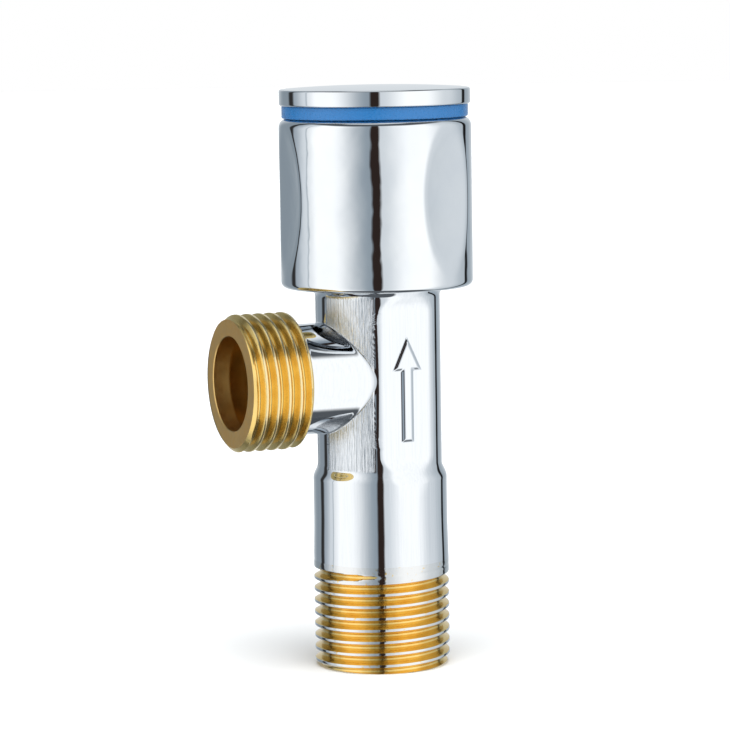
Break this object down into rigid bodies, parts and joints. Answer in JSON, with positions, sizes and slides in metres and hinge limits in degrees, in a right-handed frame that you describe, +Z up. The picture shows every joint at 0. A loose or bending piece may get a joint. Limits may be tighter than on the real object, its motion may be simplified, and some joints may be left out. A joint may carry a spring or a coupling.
{
  "type": "angle stop valve",
  "caption": "Quarter-turn angle stop valve with round scalloped handle, blue index ring, threaded inlet below and threaded outlet at the side.",
  "frame": {"origin": "centre of the inlet's end face", "axes": "+Z up the stem towards the handle, -X out of the side outlet, -Y towards the panel with the arrow"},
  "size_m": [0.0389, 0.0292, 0.0887],
  "materials": {
    "chromed_brass": "polished, chrome plated, with bare brass threads",
    "chromed_zinc": "polished, chrome plated",
    "chromed_cap": "polished, chrome plated",
    "blue_plastic": "moulded, semi-gloss",
    "turned_brass": "turned",
    "fibre_gasket": "pressed fibre, matt",
    "black_rubber": "moulded, matt",
    "stainless": "pressed, satin",
    "white_ceramic": "sintered and lapped",
    "white_acetal": "moulded, satin"
  },
  "bodies": {
    "valve": {"valve_body": "chromed_brass", "cartridge_housing": "turned_brass", "housing_gasket": "fibre_gasket", "seat_seal": "black_rubber", "seal_support_ring": "stainless", "fixed_disc": "white_ceramic"},
    "handle": {"handle_shell": "chromed_zinc", "handle_cap": "chromed_cap", "index_ring": "blue_plastic", "spindle": "turned_brass", "moving_disc": "white_ceramic", "spindle_o_ring_lower": "black_rubber", "spindle_o_ring_upper": "black_rubber", "cap_o_ring": "black_rubber", "friction_ring": "white_acetal", "spindle_circlip": "stainless", "stop_washer": "stainless", "spline_insert": "white_acetal", "handle_screw": "stainless", "screw_lock_washer": "stainless"}
  },
  "joints": [
    {"name": "handle_turn", "type": "hinge", "parent": "valve", "child": "handle", "pos_m": [0, 0, 0.07], "axis": [0, 0, 1], "range_deg": [0, 90]}
  ]
}
